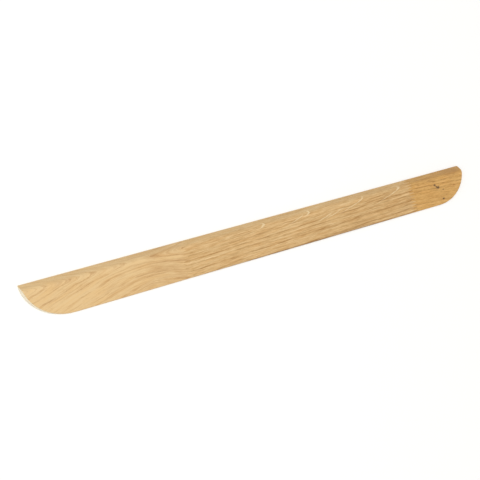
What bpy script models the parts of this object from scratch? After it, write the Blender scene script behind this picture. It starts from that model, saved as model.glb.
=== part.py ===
"""Oak threshold strip: three finger-jointed oak staves, milled to a low two-slope profile.

Units are metres, +Z is up, and the origin is under the middle of the strip, on the floor.
+X runs along the length. The steep slope is at +Y (back), the long ramp at -Y (front).
"""
import math

import bmesh
import bpy

# ---- driving dimensions ----------------------------------------------------------------

# The milled bar: two flat slopes that meet in a rounded crown.
LENGTH = 0.850                  # over the two pointed back corners
WIDTH = 0.060                   # from the straight back edge to the straight front edge
RIDGE_FROM_BACK = 0.0125        # where the two slopes would meet in a sharp ridge
RIDGE_HEIGHT = 0.0113           # height of that ridge, which the crown rounds off
CROWN_RADIUS = 0.0125           # radius between the two slopes
BACK_EDGE_HEIGHT = 0.0018       # upright land under the steep slope
FRONT_EDGE_HEIGHT = 0.0017      # upright land under the ramp

# Each end sweeps from the back corner round to the front edge on a near-elliptical curve.
END_RUN = 0.0710                # length of the sweep along the strip
END_POWER = 2.06                # 2 is an ellipse, more is squarer

# Finger joints, glued, with their teeth showing on the top face.
LEFT_JOINT_FROM_TIP = 0.266     # left tip to the middle of the left joint
RIGHT_JOINT_FROM_TIP = 0.126    # right tip to the middle of the right joint
FINGER_LENGTH = 0.0100
FINGER_PITCH = 0.0050           # wished for; rounded so that whole fingers fill the width
FINGER_TIP_WIDTH = 0.0010
GLUE_LINE = 0.0003              # kept between two glued staves

# Fixing: two foam tapes under peel-off liners, each laid in a routed channel.
TAPE_WIDTH = 0.0120
TAPE_THICKNESS = 0.0010
LINER_THICKNESS = 0.0002
LINER_TAB = 0.0050              # the liner runs this far past its tape, to be gripped
REAR_TAPE_FROM_BACK = 0.0155    # back edge to the middle of the rear tape
FRONT_TAPE_FROM_BACK = 0.0390   # back edge to the middle of the front tape
CHANNEL_SIDE_CLEARANCE = 0.0005
CHANNEL_END_MARGIN = 0.0080     # wood left between a channel's end and the swept end
LAYER_GAP = 0.0003              # wood to tape, and tape to liner

# How finely the round stretches are divided.
CROWN_STEPS = 14
SWEEP_STEPS = 36

# Cutters run past what they cut by this much.
CUTTER_SPARE = 0.0050
EDGE_SPARE = 0.0005

# ---- sizes that follow from them -------------------------------------------------------

BACK_Y = WIDTH / 2
FRONT_Y = -WIDTH / 2
LEFT_X = -LENGTH / 2
RIGHT_X = LENGTH / 2
FINGER_COUNT = max(2, round(WIDTH / FINGER_PITCH))
FINGER_STEP = WIDTH / FINGER_COUNT
CHANNEL_DEPTH = LINER_THICKNESS + LAYER_GAP + TAPE_THICKNESS + LAYER_GAP
CHANNEL_WIDTH = TAPE_WIDTH + 2 * CHANNEL_SIDE_CLEARANCE


# ---- curves of the design --------------------------------------------------------------

def cross_section():
    """(distance from back edge, height) up the back land, over the crown, to the front.

    The crown is the arc of CROWN_RADIUS that touches both slopes. Its centre lies on the
    line that halves the angle between them. Both slopes run EDGE_SPARE past the edges.
    """
    ridge = (RIDGE_FROM_BACK, RIDGE_HEIGHT)
    back_tilt = math.atan2(RIDGE_HEIGHT - BACK_EDGE_HEIGHT, RIDGE_FROM_BACK)
    ramp_tilt = math.atan2(RIDGE_HEIGHT - FRONT_EDGE_HEIGHT, WIDTH - RIDGE_FROM_BACK)
    touch = CROWN_RADIUS * math.tan((back_tilt + ramp_tilt) / 2)
    start_across = ridge[0] - touch * math.cos(back_tilt)
    start_up = ridge[1] - touch * math.sin(back_tilt)
    centre_across = start_across + CROWN_RADIUS * math.sin(back_tilt)
    centre_up = start_up - CROWN_RADIUS * math.cos(back_tilt)

    back_drop = EDGE_SPARE * math.tan(back_tilt)
    front_drop = EDGE_SPARE * math.tan(ramp_tilt)
    points = [(-EDGE_SPARE, -CUTTER_SPARE), (-EDGE_SPARE, BACK_EDGE_HEIGHT - back_drop)]
    for step in range(CROWN_STEPS + 1):
        tilt = back_tilt - (back_tilt + ramp_tilt) * step / CROWN_STEPS
        points.append((centre_across - CROWN_RADIUS * math.sin(tilt),
                       centre_up + CROWN_RADIUS * math.cos(tilt)))
    points.append((WIDTH + EDGE_SPARE, FRONT_EDGE_HEIGHT - front_drop))
    points.append((WIDTH + EDGE_SPARE, -CUTTER_SPARE))
    return points


def end_setback(from_back):
    """How far the swept end has drawn in at this distance from the back edge."""
    share = from_back / WIDTH
    return END_RUN * (1 - (1 - share ** END_POWER) ** (1 / END_POWER))


def end_sweep():
    """(setback from the tip, distance from back edge), from back corner to front edge."""
    points = []
    for step in range(SWEEP_STEPS + 1):
        turn = math.pi / 2 * step / SWEEP_STEPS
        across = math.sin(turn) ** (2 / END_POWER)
        drawn_in = 1 - math.cos(turn) ** (2 / END_POWER)
        points.append((END_RUN * drawn_in, WIDTH * across))
    return points


def finger_path(middle_x):
    """The zigzag of a finger joint, from the back edge to the front edge."""
    tip = FINGER_LENGTH / 2
    half_flat = FINGER_TIP_WIDTH / 2
    path = [(middle_x - tip, BACK_Y)]
    for finger in range(FINGER_COUNT):
        root_y = BACK_Y - finger * FINGER_STEP
        tip_y = root_y - FINGER_STEP / 2
        next_root_y = root_y - FINGER_STEP
        path.append((middle_x - tip, root_y - half_flat))
        path.append((middle_x + tip, tip_y + half_flat))
        path.append((middle_x + tip, tip_y - half_flat))
        path.append((middle_x - tip, next_root_y + half_flat))
    path.append((middle_x - tip, FRONT_Y))
    return path


def shifted_path(path, distance):
    """The same zigzag moved sideways by a constant distance, with mitred corners.

    At each corner the move is distance * (n1 + n2) / (1 + n1.n2), where n1 and n2 are the
    normals of the two runs that meet there. A positive distance moves it towards +X.
    """
    normals = []
    for (x1, y1), (x2, y2) in zip(path, path[1:]):
        run = math.hypot(x2 - x1, y2 - y1)
        normals.append(((y1 - y2) / run, (x2 - x1) / run))
    normals = [normals[0]] + normals + [normals[-1]]
    moved = []
    for (x, y), (ax, ay), (bx, by) in zip(path, normals, normals[1:]):
        scale = distance / (1 + ax * bx + ay * by)
        moved.append((x + scale * (ax + bx), y + scale * (ay + by)))
    return moved


# ---- making solids ---------------------------------------------------------------------

def mesh_from_outline(name, outline, lift, along):
    """Extrude a closed outline: lift turns its points to 3-D, along is the extrusion."""
    mesh = bpy.data.meshes.new(name)
    solid = bmesh.new()
    base = solid.faces.new([solid.verts.new(lift(*point)) for point in outline])
    extruded = bmesh.ops.extrude_face_region(solid, geom=[base])
    far_side = [item for item in extruded["geom"] if isinstance(item, bmesh.types.BMVert)]
    bmesh.ops.translate(solid, verts=far_side, vec=along)
    bmesh.ops.recalc_face_normals(solid, faces=solid.faces)
    solid.to_mesh(mesh)
    solid.free()
    return mesh


def flat_plate(name, outline, bottom, top):
    """A plate with upright walls, from its outline seen from above."""
    return mesh_from_outline(name, outline, lambda x, y: (x, y, bottom), (0, 0, top - bottom))


def milled_bar(name):
    """The bar as it leaves the moulder: the cross-section carried past both tips."""
    start = LEFT_X - CUTTER_SPARE
    run = LENGTH + 2 * CUTTER_SPARE
    return mesh_from_outline(
        name, cross_section(), lambda across, up: (start, BACK_Y - across, up), (run, 0, 0))


def rectangle(left, right, front, back):
    """Four corners, seen from above."""
    return [(left, front), (right, front), (right, back), (left, back)]


def add_object(name, mesh, material=None):
    """Put a mesh in the scene as a named object. Without a material it is a cutter."""
    item = bpy.data.objects.new(name, mesh)
    bpy.context.scene.collection.objects.link(item)
    if material:
        mesh.materials.append(material)
    else:
        item.hide_render = True
        item.display_type = "WIRE"
    return item


def cut_with(item, cutter, operation):
    """Add a live Boolean of one cutter."""
    boolean = item.modifiers.new(cutter.name, "BOOLEAN")
    boolean.operation = operation
    boolean.solver = "EXACT"
    boolean.object = cutter


def principled(name, red, green, blue, roughness):
    """A plain non-metal finish, in linear colour."""
    material = bpy.data.materials.new(name)
    material.use_nodes = True
    shader = material.node_tree.nodes["Principled BSDF"]
    shader.inputs["Base Color"].default_value = (red, green, blue, 1)
    shader.inputs["Roughness"].default_value = roughness
    shader.inputs["Metallic"].default_value = 0
    return material


# ---- the strip -------------------------------------------------------------------------

for leftover in list(bpy.data.objects):
    bpy.data.objects.remove(leftover)

pale_oak = principled("pale_oak", 0.74, 0.50, 0.24, 0.5)
straw_oak = principled("straw_oak", 0.64, 0.42, 0.19, 0.5)
honey_oak = principled("honey_oak", 0.60, 0.34, 0.12, 0.5)
grey_foam = principled("grey_foam", 0.35, 0.35, 0.35, 0.9)
waxed_paper = principled("waxed_paper", 0.80, 0.80, 0.76, 0.4)

# Plan outlines of the three staves. Neighbours share one joint path and stand half a glue
# line each to its own side of it.
left_joint = finger_path(LEFT_X + LEFT_JOINT_FROM_TIP)
right_joint = finger_path(RIGHT_X - RIGHT_JOINT_FROM_TIP)
left_end = [(LEFT_X + drawn_in, BACK_Y - across) for drawn_in, across in end_sweep()]
right_end = [(RIGHT_X - drawn_in, BACK_Y - across) for drawn_in, across in end_sweep()]
half_glue = GLUE_LINE / 2
stave_outlines = {
    "left_stave": left_end + shifted_path(left_joint, -half_glue)[::-1],
    "middle_stave": shifted_path(left_joint, half_glue)
    + shifted_path(right_joint, -half_glue)[::-1],
    "right_stave": shifted_path(right_joint, half_glue) + right_end[::-1],
}
stave_materials = {
    "left_stave": pale_oak,
    "middle_stave": straw_oak,
    "right_stave": honey_oak,
}

# The two fixing runs: channel cutter, foam tape and liner, all from the same middle line.
# A channel stops short of the swept ends, measured at its front side where they cut in most.
channel_cutters = []
for run_name, from_back in (("rear", REAR_TAPE_FROM_BACK), ("front", FRONT_TAPE_FROM_BACK)):
    middle_y = BACK_Y - from_back
    half_channel = CHANNEL_WIDTH / 2
    half_length = RIGHT_X - end_setback(from_back + half_channel) - CHANNEL_END_MARGIN
    channel_plan = rectangle(
        -half_length, half_length, middle_y - half_channel, middle_y + half_channel)
    channel_cutters.append(add_object(
        run_name + "_channel_cutter",
        flat_plate(run_name + "_channel_cutter", channel_plan, -2 * CUTTER_SPARE, CHANNEL_DEPTH)))

    half_tape = TAPE_WIDTH / 2
    liner_end = half_length - CHANNEL_SIDE_CLEARANCE
    tape_end = liner_end - LINER_TAB
    tape_bottom = LINER_THICKNESS + LAYER_GAP
    tape_plan = rectangle(-tape_end, tape_end, middle_y - half_tape, middle_y + half_tape)
    liner_plan = rectangle(-liner_end, liner_end, middle_y - half_tape, middle_y + half_tape)
    add_object(
        run_name + "_foam_tape",
        flat_plate(run_name + "_foam_tape", tape_plan, tape_bottom, tape_bottom + TAPE_THICKNESS),
        grey_foam)
    add_object(
        run_name + "_tape_liner",
        flat_plate(run_name + "_tape_liner", liner_plan, 0, LINER_THICKNESS),
        waxed_paper)

# Each stave is the milled bar, kept inside the stave's own plan outline above the floor,
# with the two channels routed out of its underside.
for stave_name, outline in stave_outlines.items():
    stave = add_object(stave_name, milled_bar(stave_name), stave_materials[stave_name])
    plan_cutter = add_object(
        stave_name + "_plan_cutter",
        flat_plate(stave_name + "_plan_cutter", outline, 0, RIDGE_HEIGHT + CUTTER_SPARE))
    cut_with(stave, plan_cutter, "INTERSECT")
    for channel_cutter in channel_cutters:
        cut_with(stave, channel_cutter, "DIFFERENCE")
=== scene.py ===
"""Oak threshold strip on a white floor: three finger-jointed staves over two hidden tapes."""
import math

import bpy
import numpy as np
from mathutils import Matrix, Vector


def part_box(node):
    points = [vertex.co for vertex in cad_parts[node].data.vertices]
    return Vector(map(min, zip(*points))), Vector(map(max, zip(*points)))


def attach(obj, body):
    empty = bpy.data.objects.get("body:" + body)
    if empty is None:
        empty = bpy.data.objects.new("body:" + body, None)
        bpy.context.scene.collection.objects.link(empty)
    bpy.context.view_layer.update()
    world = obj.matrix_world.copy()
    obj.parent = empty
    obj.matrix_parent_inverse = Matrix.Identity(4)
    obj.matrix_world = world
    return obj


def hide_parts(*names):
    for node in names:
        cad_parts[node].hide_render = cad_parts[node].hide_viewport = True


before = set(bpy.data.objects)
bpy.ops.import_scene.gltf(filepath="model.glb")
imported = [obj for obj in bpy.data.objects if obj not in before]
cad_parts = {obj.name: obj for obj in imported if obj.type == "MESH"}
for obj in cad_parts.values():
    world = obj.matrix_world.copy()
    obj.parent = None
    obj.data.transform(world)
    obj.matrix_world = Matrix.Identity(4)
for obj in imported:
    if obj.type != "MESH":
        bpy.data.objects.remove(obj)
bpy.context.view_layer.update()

# ---- Left stave ----------------------------------------------------------------------------
# Pale flat-sawn oak with a cathedral figure. It is finger-jointed and glued to the middle
# stave, run through a moulder with it, then swept round at its tip and sanded.
LEFT_X, FRONT_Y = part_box("left_stave")[0][:2]
RIGHT_X, BACK_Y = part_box("right_stave")[1][:2]
WIDTH = BACK_Y - FRONT_Y
RIDGE_FROM_BACK = 0.0125        # where the two slopes would meet in a sharp ridge
RIDGE_HEIGHT = 0.0113
CROWN_RADIUS = 0.0125
BACK_EDGE_HEIGHT = 0.0018
FRONT_EDGE_HEIGHT = 0.0017
END_RUN = 0.071                 # length of the sweep along the strip
END_POWER = 2.06                # 2 is an ellipse, more is squarer
TOP_EASE = 0.0006               # the arris is taken off by sanding
BOTTOM_EASE = 0.0003
SANDED_OFF = 0.00001            # keeps the top face just inside the frame's box
FINGER_LENGTH = 0.010
FINGER_STEP = 0.005
FINGER_TIP_WIDTH = 0.001
GLUE_HAIR = 0.00002             # half of a pressed glue line, far thinner than the frame's gap
LAYER_GAP = 0.0003              # what the frame keeps between the wood and a tape
SWEPT_RUN = 0.085               # along the stave, where the grid follows a swept end
FINGER_RUN = 0.016              # and where it follows a finger joint
STATION_SPACING = 0.004         # in between
COLUMN_SPACING = 0.0005         # across the stave
FIRST_COLUMN = 0.001            # nearer the edges than this, the columns follow the round arris


def profile_height(across):
    """Height of the top face: two slopes joined by the arc of CROWN_RADIUS that touches both."""
    back_tilt = math.atan2(RIDGE_HEIGHT - BACK_EDGE_HEIGHT, RIDGE_FROM_BACK)
    ramp_tilt = math.atan2(RIDGE_HEIGHT - FRONT_EDGE_HEIGHT, WIDTH - RIDGE_FROM_BACK)
    touch = CROWN_RADIUS * math.tan((back_tilt + ramp_tilt) / 2)
    start = RIDGE_FROM_BACK - touch * math.cos(back_tilt)
    stop = RIDGE_FROM_BACK + touch * math.cos(ramp_tilt)
    middle = start + CROWN_RADIUS * math.sin(back_tilt)
    middle_up = RIDGE_HEIGHT - touch * math.sin(back_tilt) - CROWN_RADIUS * math.cos(back_tilt)
    slope = BACK_EDGE_HEIGHT + across * math.tan(back_tilt)
    ramp = FRONT_EDGE_HEIGHT + (WIDTH - across) * math.tan(ramp_tilt)
    arc = middle_up + np.sqrt(np.maximum(CROWN_RADIUS ** 2 - (across - middle) ** 2, 0))
    return np.where(across < start, slope, np.where(across > stop, ramp, arc))


def swept_end(side_x, inward):
    """The curve of a swept end: END_RUN less a superellipse of power END_POWER, drawn inward."""
    def end_x(across):
        share = np.clip(across / WIDTH, 0, 1)
        return side_x + inward * END_RUN * (1 - (1 - share ** END_POWER) ** (1 / END_POWER))
    return end_x


def finger_end(joint_x, side):
    """The curve of a finger joint: a triangle wave, flattened at tips and roots."""
    def end_x(across):
        wave = np.abs(2 * np.mod(across / FINGER_STEP, 1) - 1)
        flank = 0.5 - FINGER_TIP_WIDTH / FINGER_STEP
        zigzag = FINGER_LENGTH / 2 * np.clip((0.5 - wave) / flank, -1, 1)
        return joint_x + zigzag + side * GLUE_HAIR
    return end_x


def edge_distance(x, across):
    """Distance in to the plan outline. At an end it is the superellipse's value over its slope."""
    end_x = np.minimum(x - LEFT_X, RIGHT_X - x)
    end_share = np.clip((END_RUN - end_x) / END_RUN, 0, 1)
    side_share = np.clip(across / WIDTH, 0, 1)
    inside = 1 - end_share ** END_POWER - side_share ** END_POWER
    slope = END_POWER * np.hypot(end_share ** (END_POWER - 1) / END_RUN,
                                 side_share ** (END_POWER - 1) / WIDTH)
    return np.minimum(np.maximum(inside, 0) / np.maximum(slope, 1e-9), across)


def eased(distance, radius):
    """How much a round of this radius has taken off, at a distance in from the edge."""
    run = np.clip(radius - distance, 0, radius)
    return radius - np.sqrt(radius ** 2 - run ** 2)


def closed_slab(name, x, y, top, bottom):
    """A solid between two height fields on one grid, where x grows by row and y falls by column.

    Its walls come last: start end, front side, far end, back side.
    """
    rows, columns = x.shape
    upper = np.stack([x, y, top], -1).reshape(-1, 3)
    lower = np.stack([x, y, bottom], -1).reshape(-1, 3)
    index = np.arange(rows * columns).reshape(rows, columns)
    quads = np.stack([index[:-1, :-1], index[:-1, 1:], index[1:, 1:], index[1:, :-1]], -1)
    quads = quads.reshape(-1, 4)
    rim = np.concatenate([index[0, :], index[1:, -1], index[-1, -2::-1], index[-2:0:-1, 0]])
    rim_next = np.roll(rim, -1)
    below = rows * columns
    walls = np.stack([rim, rim + below, rim_next + below, rim_next], -1)
    mesh = bpy.data.meshes.new(name)
    mesh.from_pydata(np.concatenate([upper, lower]), [],
                     np.concatenate([quads, quads[:, ::-1] + below, walls]))
    item = bpy.data.objects.new(name, mesh)
    bpy.context.scene.collection.objects.link(item)
    return item


# Distances in from the back edge. They crowd towards both edges, where the arris is round.
EDGE_COLUMNS = np.array([0, 0.03, 0.08, 0.15, 0.25, 0.36, 0.5]) / 1000
EVEN_COLUMNS = np.arange(FIRST_COLUMN, WIDTH - FIRST_COLUMN + COLUMN_SPACING / 2, COLUMN_SPACING)
COLUMNS = np.concatenate([EDGE_COLUMNS, EVEN_COLUMNS, WIDTH - EDGE_COLUMNS[::-1]])
# Stations, as shares of a run. They crowd towards a swept end for the same reason.
FIRST_SHARE = 0.0004
SWEPT_STATIONS = np.concatenate([[0], np.geomspace(FIRST_SHARE, 1, 34)])
FINGER_STATIONS = np.linspace(0, 1, 9)


def stave(name, left_end, right_end, left_stations, right_stations, left_run, right_run):
    """One stave on a grid of stations and columns, with its eased arrises.

    Each end's curve, x as a function of the distance across, fades to a straight station over
    its run. In between, straight stations stand STATION_SPACING apart.
    """
    left_x, right_x = left_end(COLUMNS), right_end(COLUMNS)
    left_straight, right_straight = left_x.min() + left_run, right_x.max() - right_run
    count = int((right_straight - left_straight) / STATION_SPACING)
    between = np.linspace(left_straight, right_straight, count + 1)[1:-1]
    head = left_x + (left_straight - left_x) * left_stations[:, None]
    tail = right_x + (right_straight - right_x) * right_stations[::-1, None]
    x = np.concatenate([head, np.repeat(between[:, None], len(COLUMNS), 1), tail])
    across = np.broadcast_to(COLUMNS, x.shape)
    distance = edge_distance(x, across)
    top = profile_height(across) - SANDED_OFF - eased(distance, TOP_EASE)
    return closed_slab(name, x, BACK_Y - across, top, eased(distance, BOTTOM_EASE))


# Both tapes lie in channels, routed along the underside and stopped short of the swept ends.
CHANNEL_CLEARANCE = 0.0004      # not half a millimetre, or the cut would run along a grid column
CHANNEL_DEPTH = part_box("rear_foam_tape")[1][2] + LAYER_GAP
CUTTER_SPARE = 0.001            # how far the cutter reaches below the floor face


def channel_cutter(tape_node, liner_node):
    """A box as long as the liner and as wide as the tape, with clearance, from the floor up."""
    half_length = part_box(liner_node)[1][0] + CHANNEL_CLEARANCE
    low_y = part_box(tape_node)[0][1] - CHANNEL_CLEARANCE
    high_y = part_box(tape_node)[1][1] + CHANNEL_CLEARANCE
    x, y = np.meshgrid([-half_length, half_length], [high_y, low_y], indexing="ij")
    return closed_slab("channel_cutter", x, y, np.full(x.shape, CHANNEL_DEPTH),
                       np.full(x.shape, -CUTTER_SPARE))


channel_cutters = [channel_cutter("rear_foam_tape", "rear_tape_liner"),
                   channel_cutter("front_foam_tape", "front_tape_liner")]
SHARP_ANGLE = math.radians(40)


def rout_channels(piece):
    """Take the channels out of the underside and keep the cut in the mesh."""
    for cutter in channel_cutters:
        cut = piece.modifiers.new("channel", "BOOLEAN")
        cut.operation = "DIFFERENCE"
        cut.solver = "EXACT"
        cut.object = cutter
    evaluated = piece.evaluated_get(bpy.context.evaluated_depsgraph_get())
    piece.data = bpy.data.meshes.new_from_object(evaluated)
    piece.modifiers.clear()
    piece.data.shade_smooth()
    piece.data.set_sharp_from_angle(angle=SHARP_ANGLE)


def srgb(hex_colour):
    """An sRGB hex colour as linear red, green, blue, alpha."""
    parts = [int(hex_colour[i:i + 2], 16) / 255 for i in (1, 3, 5)]
    return [p / 12.92 if p <= 0.04045 else ((p + 0.055) / 1.055) ** 2.4 for p in parts] + [1]


def grey(level):
    """A level from 0 to 1 as linear red, green, blue, alpha, for a ramp that gives a number."""
    return [level] * 3 + [1]


def add(tree, kind, links, out=0, stops=(), **settings):
    """Add one shader node and give back one of its outputs.

    links fills its inputs, by name or number, with values or with other nodes' outputs.
    stops are a colour ramp's (position, colour) pairs, from low to high.
    """
    made = tree.nodes.new(kind)
    for key, setting in settings.items():
        setattr(made, key, setting)
    for key, source in links.items():
        if isinstance(source, bpy.types.NodeSocket):
            tree.links.new(source, made.inputs[key])
        else:
            made.inputs[key].default_value = source
    for count, (position, colour) in enumerate(stops):
        elements = made.color_ramp.elements
        element = elements[count] if count < 2 else elements.new(1.0)
        element.position = position
        element.color = colour
    return made.outputs[out]


def grains(tree, spot, length, thickness, detail=2.0, shift=0.0):
    """Noise in grains of this length along the stave and thickness across it, in millimetres.

    It averages a half. shift slides it, so that no two layers have the same pattern.
    """
    stretched = add(tree, "ShaderNodeMapping", {
        "Vector": spot, "Scale": (1 / length, 1 / thickness, 1 / thickness),
        "Location": (shift, shift, shift)})
    return add(tree, "ShaderNodeTexNoise", {
        "Vector": stretched, "Scale": 1.0, "Detail": detail, "Roughness": 0.55})


def nearness(tree, spot, marks, sharp=0.0):
    """1 inside the nearest mark as far out as the share sharp, then falling to 0 at its rim.

    A mark is a centre and half sizes, each in millimetres along spot's three axes.
    """
    nearest = 9.0               # well outside every mark
    for centre, half_sizes in marks:
        scaled = add(tree, "ShaderNodeMapping", {
            "Vector": spot, "Scale": [1 / h for h in half_sizes],
            "Location": [-c / h for c, h in zip(centre, half_sizes)]})
        reach = add(tree, "ShaderNodeVectorMath", {0: scaled}, out="Value", operation="LENGTH")
        nearest = add(tree, "ShaderNodeMath", {0: reach, 1: nearest}, operation="MINIMUM")
    return add(tree, "ShaderNodeValToRGB", {"Fac": nearest},
               stops=((0.0, grey(1)), (sharp, grey(1)), (1.0, grey(0))))


def weighed(tree, layers, average=0.0):
    """The sum of layers, each given as (value, weight, mean), moved to have this average.

    A layer whose mean is given as 0 keeps its own.
    """
    total = average - sum(weight * mean for _, weight, mean in layers)
    for layer, weight, _ in layers:
        total = add(tree, "ShaderNodeMath", {0: layer, 1: weight, 2: total},
                    operation="MULTIPLY_ADD")
    return total


RING_WANDER = 2.4               # full swing of the long bends in the rings, in millimetres
RING_WAVER = 1.2                # and of the short ones
# The next share paints a sheen on the back slope by washing out the figure there.
BACK_SLOPE_SHEEN_VEIL = 0.5         # share of the figure's strength that the back slope loses


def oak(name, year_distance, year_lines, line, ground, pale, warm, streak_mm, dash_mm,
        drift_and_painted_falloff=0.0, back_slope_painted_shade=0.0, finish=None):
    """Sanded oak, figured right through the wood, so that every cut face agrees.

    All the figure is summed as one tone, where 0 is the line colour, a half the ground and 1
    the pale colour. year_distance gives how far a point lies through the year rings, in
    millimetres, and year_lines are (distance, half width, tone) on that scale. Streaks and
    dashes are given by their length and thickness. The tone falls by fading over each metre to
    the right, partly the wood's own drift and partly painted fall-off of the light from the
    left. It changes by back_slope_painted_shade down the back slope, as painted shade. Broad
    streaks of the warm colour tint the sum, and finish lays the stave's own marks over it.
    """
    material = bpy.data.materials.new(name)
    material.use_nodes = True
    tree = material.node_tree
    shader = tree.nodes["Principled BSDF"]
    place = add(tree, "ShaderNodeTexCoord", {}, out="Object")
    # Millimetres along the strip, across it from the back edge, and up.
    spot = add(tree, "ShaderNodeMapping", {
        "Vector": place, "Scale": (1000, -1000, 1000), "Location": (0, BACK_Y * 1000, 0)})
    years = year_distance(tree, spot)
    # The rings bend slowly, and waver a little as well.
    years = add(tree, "ShaderNodeMath", {
        0: grains(tree, spot, 60, 12, 1.0), 1: RING_WANDER, 2: years}, operation="MULTIPLY_ADD")
    years = add(tree, "ShaderNodeMath", {
        0: grains(tree, spot, 9, 1.6, 2.0, 3.7), 1: RING_WAVER, 2: years},
        operation="MULTIPLY_ADD")
    pushed = (RING_WANDER + RING_WAVER) / 2     # on average, by two noises that average a half
    low = year_lines[0][0] - year_lines[0][1] - 1
    high = year_lines[-1][0] + year_lines[-1][1] + 1
    share = add(tree, "ShaderNodeMapRange", {
        "Value": years, "From Min": low + pushed, "From Max": high + pushed})
    # Each line is a peak or a dip in the ground's level, along a ramp from low to high.
    stops = [(0.0, grey(0.5))]
    for at, half_width, tone in year_lines:
        rises = ((at - half_width, 0.5), (at, tone), (at + half_width, 0.5))
        stops += [((place_on_scale - low) / (high - low), grey(level))
                  for place_on_scale, level in rises]
    rings = add(tree, "ShaderNodeValToRGB", {"Fac": share}, stops=stops)
    rings = add(tree, "ShaderNodeMath", {0: rings, 1: 0.5}, operation="SUBTRACT")
    # In places a line fades to a quarter of its strength.
    breaks = add(tree, "ShaderNodeMapRange", {
        "Value": grains(tree, spot, 24, 3, 2.0, 8.1), "From Min": 0.34, "From Max": 0.62,
        "To Min": 0.25})
    rings = add(tree, "ShaderNodeMath", {0: rings, 1: breaks}, operation="MULTIPLY")

    # Streaks and dashes follow the rings, and fade on the back slope under a painted sheen. Fibres
    # and pores run straight. The fibres are drawn in bundles 0.4 mm thick, far coarser than single
    # ones, so that they show, and the pores 0.3 mm wide, about their real size.
    along = add(tree, "ShaderNodeSeparateXYZ", {0: spot}, out="X")
    with_rings = add(tree, "ShaderNodeCombineXYZ", {"X": along, "Y": years})
    figure = weighed(tree, (
        (rings, 1.3, 0.0),
        (grains(tree, with_rings, *streak_mm, 2.0, 5.3), 1.2, 0.5),
        (grains(tree, with_rings, *dash_mm, 2.0, 1.1), 1.1, 0.5)))
    across = add(tree, "ShaderNodeSeparateXYZ", {0: spot}, out="Y")
    # 1 on the back slope and 0 on the ramp, changing where the crown rounds over.
    down_back = add(tree, "ShaderNodeMapRange", {
        "Value": across, "From Min": 15.0, "From Max": 8.0})
    # Painted sheen: the figure loses strength on the back slope.
    sheen_veil = add(tree, "ShaderNodeMath", {0: down_back, 1: -BACK_SLOPE_SHEEN_VEIL, 2: 1.0},
                operation="MULTIPLY_ADD")
    figure = add(tree, "ShaderNodeMath", {0: figure, 1: sheen_veil}, operation="MULTIPLY")
    pores = add(tree, "ShaderNodeMapRange", {
        "Value": grains(tree, spot, 5, 0.3, 1.0, 2.3), "From Min": 0.60, "From Max": 0.68})
    # Painted light in the tone: it falls to the right partly as painted fall-off of the light from
    # the left, and it darkens down the back slope as painted shade.
    tone = weighed(tree, (
        (figure, 1.0, 0.0),
        (along, -drift_and_painted_falloff / 1000, 0.0),
        (down_back, back_slope_painted_shade, 0.0),
        (grains(tree, spot, 120, 18, 1.0, 11.0), 0.25, 0.5),
        (grains(tree, spot, 14, 0.4, 2.0, 1.9), 0.45, 0.5),
        (pores, -0.22, 0.06)), average=0.5)
    colour = add(tree, "ShaderNodeValToRGB", {"Fac": tone},
                 stops=((0.0, srgb(line)), (0.5, srgb(ground)), (1.0, srgb(pale))))
    warmth = add(tree, "ShaderNodeMapRange", {
        "Value": grains(tree, with_rings, 40, 3, 2.0, 14.2), "From Min": 0.42, "From Max": 0.70,
        "To Max": 0.5})
    colour = add(tree, "ShaderNodeMix", {0: warmth, 6: colour, 7: srgb(warm)}, out=2,
                 data_type="RGBA", blend_type="MULTIPLY")
    # Painted sheen: the back slope is tinted a touch greyer and cooler than the ramp.
    colour = add(tree, "ShaderNodeMix", {0: down_back, 6: colour, 7: srgb("#f6faff")}, out=2,
                 data_type="RGBA", blend_type="MULTIPLY")
    if finish:
        colour = finish(tree, spot, colour)
    tree.links.new(colour, shader.inputs["Base Color"])
    # A matt oil leaves open pores, so the light breaks up along them.
    shader.inputs["IOR"].default_value = 1.5
    shader.inputs["Roughness"].default_value = 0.52
    bump = add(tree, "ShaderNodeBump", {"Height": tone, "Strength": 0.25, "Distance": 0.0002})
    tree.links.new(bump, shader.inputs["Normal"])
    return material


def cathedral(tree, spot):
    """Distance through the rings of a flat-sawn board: nested arches about one low apex.

    It is a lean across the board and up it, plus a share of a hyperbola along it: the
    hypotenuse of the distance from the apex line and a breadth, less that breadth. The apex
    line slants to the right towards the front, where the breadth is smallest.
    """
    apex_left_of_middle, apex_slant = 240.0, 0.35
    breadth_at_back, narrowing = 70.0, 0.88
    share, lean_across, lean_up = 0.18, -0.42, 1.74
    across = add(tree, "ShaderNodeSeparateXYZ", {0: spot}, out="Y")
    along = add(tree, "ShaderNodeVectorMath", {0: spot, 1: (1, -apex_slant, 0)}, out="Value",
                operation="DOT_PRODUCT")
    along = add(tree, "ShaderNodeMath", {0: along, 1: apex_left_of_middle}, operation="ADD")
    breadth = add(tree, "ShaderNodeMath", {0: across, 1: -narrowing, 2: breadth_at_back},
                  operation="MULTIPLY_ADD")
    both = add(tree, "ShaderNodeCombineXYZ", {"X": along, "Y": breadth})
    hypotenuse = add(tree, "ShaderNodeVectorMath", {0: both}, out="Value", operation="LENGTH")
    rise = add(tree, "ShaderNodeMath", {0: hypotenuse, 1: breadth}, operation="SUBTRACT")
    lean = add(tree, "ShaderNodeVectorMath", {0: spot, 1: (0, lean_across, lean_up)},
               out="Value", operation="DOT_PRODUCT")
    return add(tree, "ShaderNodeMath", {0: rise, 1: share, 2: lean}, operation="MULTIPLY_ADD")


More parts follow.
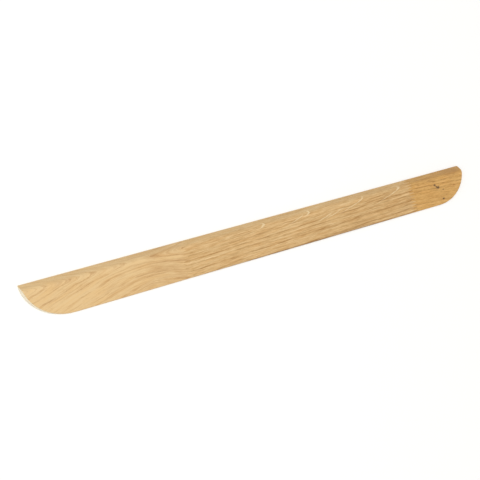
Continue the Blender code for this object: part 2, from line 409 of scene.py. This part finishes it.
left_oak = oak(
    "pale_flat_sawn_oak_matt_oiled", cathedral,
    ((-14, 1.2, 0.10), (-7, 1.2, 0.20), (-3.5, 1.4, 0.25), (6.5, 1.3, 0.15),
     (11.5, 1.5, 0.85), (13, 0.8, 0.0), (19, 1.0, 0.0), (22, 1.2, 0.72),
     (25, 0.9, 0.05), (31, 0.9, 0.1)),
    "#ab7c48", "#cba46f", "#e1c08b", "#fff4e0", (60, 1.2), (20, 0.7), drift_and_painted_falloff=1.3,
    back_slope_painted_shade=-0.16)


def end_grain(name, ground, pore):
    """Oak cut across its fibres and fine-sanded: pale, with tiny open pores and no long grain."""
    material = bpy.data.materials.new(name)
    material.use_nodes = True
    tree = material.node_tree
    shader = tree.nodes["Principled BSDF"]
    place = add(tree, "ShaderNodeTexCoord", {}, out="Object")
    # Pores are drawn 0.5 mm wide, about twice their real size, so that they show.
    dots = add(tree, "ShaderNodeTexNoise", {"Vector": place, "Scale": 2000.0, "Detail": 1.0})
    colour = add(tree, "ShaderNodeValToRGB", {"Fac": dots},
                 stops=((0.30, srgb(pore)), (0.48, srgb(ground))))
    tree.links.new(colour, shader.inputs["Base Color"])
    shader.inputs["IOR"].default_value = 1.5
    shader.inputs["Roughness"].default_value = 0.6
    return material


# The left end grain is drawn near white: partly the pale sanded end, partly painted light on the
# end that faces the left.
left_end_grain_with_painted_light = end_grain("pale_oak_end_grain_with_painted_light", "#f3e9d1", "#e4d3b0")
left_joint = (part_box("left_stave")[1][0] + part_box("middle_stave")[0][0]) / 2
oak_left = stave("oak_left", swept_end(LEFT_X, 1), finger_end(left_joint, -1),
                 SWEPT_STATIONS, FINGER_STATIONS, SWEPT_RUN, FINGER_RUN)


def give_end_grain(piece, end, long_grain, across_grain):
    """Two materials: the walls of the start or far end are end grain, and the rest long grain."""
    piece.data.materials.append(long_grain)
    piece.data.materials.append(across_grain)
    rows = len(piece.data.vertices) // 2 // len(COLUMNS)
    end_and_side = len(COLUMNS) - 1 + rows - 1
    faces = len(piece.data.polygons)
    start = faces - end_and_side * (2 if end == "start" else 1)
    which = np.zeros(faces, dtype=np.int32)
    which[start:start + len(COLUMNS) - 1] = 1
    piece.data.polygons.foreach_set("material_index", which)


give_end_grain(oak_left, "start", left_oak, left_end_grain_with_painted_light)
rout_channels(oak_left)
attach(oak_left, "root")
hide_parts("left_stave")

# ---- Middle stave --------------------------------------------------------------------------
# Straight-grained oak, cut nearer the radius, so the rings run along it as thin brown lines and
# the rays show as a few fine pale hooks. Glued by finger joints at both ends.
right_joint = (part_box("middle_stave")[1][0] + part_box("right_stave")[0][0]) / 2


def straight_rings(tree, spot):
    """Distance through nearly flat rings, which close slowly on the front edge to the right."""
    return add(tree, "ShaderNodeVectorMath", {0: spot, 1: (0.027, 1, -0.1)}, out="Value",
               operation="DOT_PRODUCT")


def ray_flecks(tree, spot, colour):
    """Pale ray flecks: each ray sheet leans, so it meets the crown as a hook open to the left."""
    across = add(tree, "ShaderNodeSeparateXYZ", {0: spot}, out="Y")
    through = add(tree, "ShaderNodeVectorMath", {0: spot, 1: (-0.17, -0.44, 1)}, out="Value",
                  operation="DOT_PRODUCT")
    waver = add(tree, "ShaderNodeMath", {0: grains(tree, spot, 8, 4, 1.0, 6.4), 1: 1.2,
                                         2: through}, operation="MULTIPLY_ADD")
    on_sheet = add(tree, "ShaderNodeCombineXYZ", {"X": waver, "Y": across, "Z": 0.0})
    half_thickness = 0.5
    # Each ray is its sheet's place, then its middle and half length across the stave.
    rays = ((-41.6, 18, 13), (-28.0, 18, 13), (-24.1, 25, 7), (-21.6, 26, 6), (-8.8, 12, 7),
            (-6.8, 18, 6), (6.5, 12, 6))
    marks = [((sheet, middle, 0), (half_thickness, half_length, 1))
             for sheet, middle, half_length in rays]
    amount = nearness(tree, on_sheet, marks, sharp=0.45)
    amount = add(tree, "ShaderNodeMath", {0: amount, 1: 0.6}, operation="MULTIPLY")
    colour = add(tree, "ShaderNodeMix", {0: amount, 6: colour, 7: srgb("#ecd7ac")}, out=2,
                 data_type="RGBA")
    # Painted shade along most of the front edge, drawn as a brown band. Just inside it lies a
    # short brown mineral line, with two more by the right joint.
    edge_shade_and_streaks = nearness(tree, spot, (
        ((85, 60, 1), (240, 2.2, 9)), ((165, 57.5, 1), (62, 0.9, 9)),
        ((283, 51, 1), (20, 0.8, 9)), ((283, 45, 1), (18, 0.7, 9))), sharp=0.4)
    patchy_shade_and_streaks = add(tree, "ShaderNodeMath", {0: grains(tree, spot, 22, 2, 2.0, 4.4), 1: edge_shade_and_streaks},
                 operation="MULTIPLY")
    # The brown mixed in here is painted shade on the front edge and real mineral lines.
    return add(tree, "ShaderNodeMix", {0: patchy_shade_and_streaks, 6: colour, 7: srgb("#75491c")}, out=2,
               data_type="RGBA")


middle_oak = oak(
    "straw_straight_grained_oak_matt_oiled", straight_rings,
    ((17.4, 2.0, 0.62), (22.4, 1.4, 0.28), (30.4, 1.2, 0.0), (33.9, 1.4, 0.72),
     (36.9, 1.3, 0.22), (46.2, 1.2, 0.12), (50.0, 1.8, 0.62), (59.7, 1.4, 0.15),
     (63.0, 1.2, 0.70), (66.0, 1.6, 0.0)),
    "#a97d43", "#d1ac75", "#e8c896", "#ffefd6", (40, 1.5), (14, 1.0), drift_and_painted_falloff=0.22,
    finish=ray_flecks)
oak_middle = stave("oak_middle", finger_end(left_joint, 1), finger_end(right_joint, -1),
                   FINGER_STATIONS, FINGER_STATIONS, FINGER_RUN, FINGER_RUN)
oak_middle.data.materials.append(middle_oak)
rout_channels(oak_middle)
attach(oak_middle, "root")
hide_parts("middle_stave")

# ---- Right stave ---------------------------------------------------------------------------
# A short, warmer piece of oak with short pores and a few pin knots, darker at its back corner.
# Finger-jointed like the others, then swept round at its tip.


def drooping_rings(tree, spot):
    """Distance through rings that fall slowly towards the front edge to the right."""
    return add(tree, "ShaderNodeVectorMath", {0: spot, 1: (-0.058, 1, 0.38)}, out="Value",
               operation="DOT_PRODUCT")


def knots_and_stain(tree, spot, colour):
    """Pin knots with soft brown rims, and a brown stain in the back corner."""
    # Noise in blobs of 4.5 mm makes the marks ragged, by up to 5 mm along and 3 mm across.
    blobs = add(tree, "ShaderNodeTexNoise", {"Vector": spot, "Scale": 0.22, "Detail": 2.0},
                out="Color")
    ragged = add(tree, "ShaderNodeVectorMath", {0: blobs, 1: (5.0, 3.0, 0.0), 2: spot},
                 operation="MULTIPLY_ADD")
    # Knots and stain are tall enough to run right through the stave.
    stain = nearness(tree, ragged, (
        ((403, 9.5, 5), (32, 10, 40)), ((347, 17, 5), (11, 2.6, 40))), sharp=0.4)
    stain = add(tree, "ShaderNodeMath", {0: stain, 1: 0.38}, operation="MULTIPLY")
    colour = add(tree, "ShaderNodeMix", {0: stain, 6: colour, 7: srgb("#9a6c3a")}, out=2,
                 data_type="RGBA")
    knots = nearness(tree, ragged, (
        ((356.5, 26.3, 5), (3.8, 2.6, 40)), ((359.5, 29, 5), (2.2, 1.6, 40)),
        ((362.5, 31.2, 5), (4.6, 3.2, 40)), ((373, 37, 5), (1.9, 1.3, 40)),
        ((369, 52.5, 5), (3.2, 2.2, 40))), sharp=0.35)
    knots = add(tree, "ShaderNodeMath", {0: knots, 1: 0.95}, operation="MULTIPLY")
    return add(tree, "ShaderNodeMix", {0: knots, 6: colour, 7: srgb("#573b22")}, out=2,
               data_type="RGBA")


right_oak = oak(
    "honey_oak_matt_oiled", drooping_rings,
    ((-8.0, 5.0, 0.38), (0.9, 1.3, 0.22), (4.2, 1.4, 0.80), (6.9, 1.0, 0.18),
     (9.5, 1.3, 0.74), (12.4, 1.1, 0.20), (32.4, 1.2, 0.22), (35.4, 1.6, 0.78)),
    "#a3733a", "#d0a25b", "#e1b473", "#ffeed0", (16, 1.0), (7, 0.7),
    back_slope_painted_shade=-0.18, finish=knots_and_stain)
right_end_grain = end_grain("honey_oak_end_grain_sanded", "#d9b98a", "#bb9560")
oak_right = stave("oak_right", finger_end(right_joint, 1), swept_end(RIGHT_X, -1),
                  FINGER_STATIONS, SWEPT_STATIONS, FINGER_RUN, SWEPT_RUN)
give_end_grain(oak_right, "far", right_oak, right_end_grain)
rout_channels(oak_right)
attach(oak_right, "root")
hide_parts("right_stave")
for cutter in channel_cutters:
    bpy.data.objects.remove(cutter)

# ---- Foam tapes ----------------------------------------------------------------------------
# Two strips of grey closed-cell foam with acrylic adhesive on both faces, slit from a roll and
# pressed into the channels.
TAPE_EASE = 0.00025
TAPE_SKIN_GAP = 0.00005         # keeps a tape's faces off the wood and the liner
EDGE_SHARES = np.array([0, 0.05, 0.15, 0.35, 0.65, 1.0])
STRIP_SPACING = 0.01            # between stations along a tape or liner
STRIP_COLUMNS = 24


def strip(name, low, high, ease, corner=0.0):
    """A long flat strip with eased edges and, where corner is set, round corners in plan.

    Each end is drawn in by what a round of that radius takes off at the distance from a side.
    """
    in_steps = EDGE_SHARES * ease
    length, width = high[0] - low[0], high[1] - low[1]
    across = np.concatenate([in_steps, np.linspace(ease, width - ease, STRIP_COLUMNS)[1:-1],
                             width - in_steps[::-1]])
    to_side = np.minimum(across, width - across)
    pulled_in = eased(to_side, corner)
    shares = np.concatenate([in_steps, np.arange(STRIP_SPACING, length - ease, STRIP_SPACING),
                             length - in_steps[::-1]]) / length
    x = low[0] + pulled_in + shares[:, None] * (length - 2 * pulled_in)
    y = np.broadcast_to(high[1] - across, x.shape)
    to_end = np.minimum(x - low[0] - pulled_in, high[0] - pulled_in - x)
    taken = eased(np.minimum(to_end, to_side), ease)
    return closed_slab(name, x, y, high[2] - taken, low[2] + taken)


foam = bpy.data.materials.new("grey_closed_cell_foam_with_adhesive")
foam.use_nodes = True
foam_shader = foam.node_tree.nodes["Principled BSDF"]
foam_spot = add(foam.node_tree, "ShaderNodeTexCoord", {}, out="Object")
# Foam cells are 0.3 mm across, drawn at their real size.
cells = add(foam.node_tree, "ShaderNodeTexVoronoi", {"Vector": foam_spot, "Scale": 3300.0})
foam_colour = add(foam.node_tree, "ShaderNodeValToRGB", {"Fac": cells},
                  stops=((0.0, srgb("#b0b0ac")), (0.8, srgb("#858583"))))
foam.node_tree.links.new(foam_colour, foam_shader.inputs["Base Color"])
foam_bump = add(foam.node_tree, "ShaderNodeBump", {
    "Height": cells, "Strength": 0.4, "Distance": 0.0001}, invert=True)
foam.node_tree.links.new(foam_bump, foam_shader.inputs["Normal"])
foam_shader.inputs["Roughness"].default_value = 0.55
foam_shader.inputs["IOR"].default_value = 1.47
for name, node in (("foam_rear", "rear_foam_tape"), ("foam_front", "front_foam_tape")):
    low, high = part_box(node)
    liner_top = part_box(node.replace("foam_tape", "tape_liner"))[1][2]
    piece = strip(name, (low[0], low[1], liner_top + TAPE_SKIN_GAP),
                  (high[0], high[1], CHANNEL_DEPTH - TAPE_SKIN_GAP), TAPE_EASE)
    piece.data.materials.append(foam)
    piece.data.shade_smooth()
    piece.data.set_sharp_from_angle(angle=SHARP_ANGLE)
    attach(piece, "root")
    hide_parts(node)

# ---- Release liners ------------------------------------------------------------------------
# Siliconised kraft paper that covers each tape's floor face. It runs on past the tape as a tab
# with round corners, to be gripped and peeled off.
LINER_SKIN_GAP = 0.00004        # keeps the paper off the floor
LINER_EASE = 0.00004
LINER_CORNER = 0.003
paper = bpy.data.materials.new("cream_siliconised_release_paper")
paper.use_nodes = True
paper_shader = paper.node_tree.nodes["Principled BSDF"]
paper_spot = add(paper.node_tree, "ShaderNodeTexCoord", {}, out="Object")
# Pulp clouds are 3 mm across.
clouds = add(paper.node_tree, "ShaderNodeTexNoise", {
    "Vector": paper_spot, "Scale": 330.0, "Detail": 3.0})
paper_colour = add(paper.node_tree, "ShaderNodeValToRGB", {"Fac": clouds},
                   stops=((0.3, srgb("#e6dfca")), (0.7, srgb("#f1ecdc"))))
paper.node_tree.links.new(paper_colour, paper_shader.inputs["Base Color"])
paper_shader.inputs["Roughness"].default_value = 0.35
paper_shader.inputs["IOR"].default_value = 1.43
for name, node in (("liner_rear", "rear_tape_liner"), ("liner_front", "front_tape_liner")):
    low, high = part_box(node)
    piece = strip(name, (low[0], low[1], low[2] + LINER_SKIN_GAP), high, LINER_EASE,
                  LINER_CORNER)
    piece.data.materials.append(paper)
    piece.data.shade_smooth()
    piece.data.set_sharp_from_angle(angle=SHARP_ANGLE)
    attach(piece, "root")
    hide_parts(node)

# ---- Floor ---------------------------------------------------------------------------------
# A plain white painted floor, just under the strip and much larger than the view.
FLOOR_HALF = 6.0
FLOOR_DROP = 0.0002             # below the strip, so that no two faces lie in one plane
FLOOR_THICKNESS = 0.01
floor_x, floor_y = np.meshgrid([-FLOOR_HALF, FLOOR_HALF], [FLOOR_HALF, -FLOOR_HALF],
                               indexing="ij")
floor = closed_slab("floor", floor_x, floor_y, np.full((2, 2), -FLOOR_DROP),
                    np.full((2, 2), -FLOOR_THICKNESS))
paint = bpy.data.materials.new("white_matt_floor_paint")
paint.use_nodes = True
paint.node_tree.nodes["Principled BSDF"].inputs["Base Color"].default_value = srgb("#fdfdfc")
paint.node_tree.nodes["Principled BSDF"].inputs["Roughness"].default_value = 0.9
floor.data.materials.append(paint)

# ---- Light ---------------------------------------------------------------------------------
# A white room under one large overhead soft box, which leaves the front edge in a little shade.
# A weak second soft box beyond the left tip lifts the end grain there.
world = bpy.data.worlds.new("white_studio")
bpy.context.scene.world = world
world.use_nodes = True
world.node_tree.nodes["Background"].inputs["Color"].default_value = (1, 1, 1, 1)
world.node_tree.nodes["Background"].inputs["Strength"].default_value = 0.62


def soft_box(name, at, aim, size, watts, colour):
    """A square studio light that faces aim."""
    light = bpy.data.lights.new(name, "AREA")
    light.size = size
    light.energy = watts
    light.color = colour
    lamp = bpy.data.objects.new(name, light)
    lamp.location = at
    lamp.rotation_euler = (Vector(aim) - Vector(at)).to_track_quat("-Z", "Y").to_euler()
    bpy.context.scene.collection.objects.link(lamp)


soft_box("overhead_soft_box", (-0.8, 1.4, 6.0), (0, 0, 0), 3.0, 165, (1.0, 0.99, 0.97))
soft_box("left_soft_box", (-1.8, -0.6, 1.3), (-0.3, 0, 0), 1.2, 5.5, (1.0, 0.94, 0.84))
bpy.context.scene.view_settings.view_transform = "Standard"

# ---- Camera --------------------------------------------------------------------------------
# A long lens looks down on the strip from beyond its left tip, a little to the front, and is
# rolled so that the strip climbs gently from left to right.
AIM = Vector((-0.0529, 0.0066, 0.0))
CAMERA_DISTANCE = 1.7596
CAMERA_HEADING = math.radians(17.51)      # the view runs along +X, turned this far to +Y
CAMERA_DROP = math.radians(59.02)         # and this far below level
CAMERA_ROLL = math.radians(-54.11)        # the camera's turn about the line of sight
LENS_MM = 82.5

level_right = Vector((math.sin(CAMERA_HEADING), -math.cos(CAMERA_HEADING), 0))
sight = Vector((math.cos(CAMERA_DROP) * math.cos(CAMERA_HEADING),
                math.cos(CAMERA_DROP) * math.sin(CAMERA_HEADING),
                -math.sin(CAMERA_DROP)))
level_up = level_right.cross(sight)
view_right = level_right * math.cos(CAMERA_ROLL) - level_up * math.sin(CAMERA_ROLL)
view_up = level_right * math.sin(CAMERA_ROLL) + level_up * math.cos(CAMERA_ROLL)
eye = AIM - sight * CAMERA_DISTANCE
camera = bpy.data.objects.new("camera", bpy.data.cameras.new("camera"))
camera.data.lens = LENS_MM
camera.data.sensor_width = 36
camera.matrix_world = Matrix((
    (view_right.x, view_up.x, -sight.x, eye.x),
    (view_right.y, view_up.y, -sight.y, eye.y),
    (view_right.z, view_up.z, -sight.z, eye.z),
    (0, 0, 0, 1)))
bpy.context.scene.collection.objects.link(camera)
bpy.context.scene.camera = camera
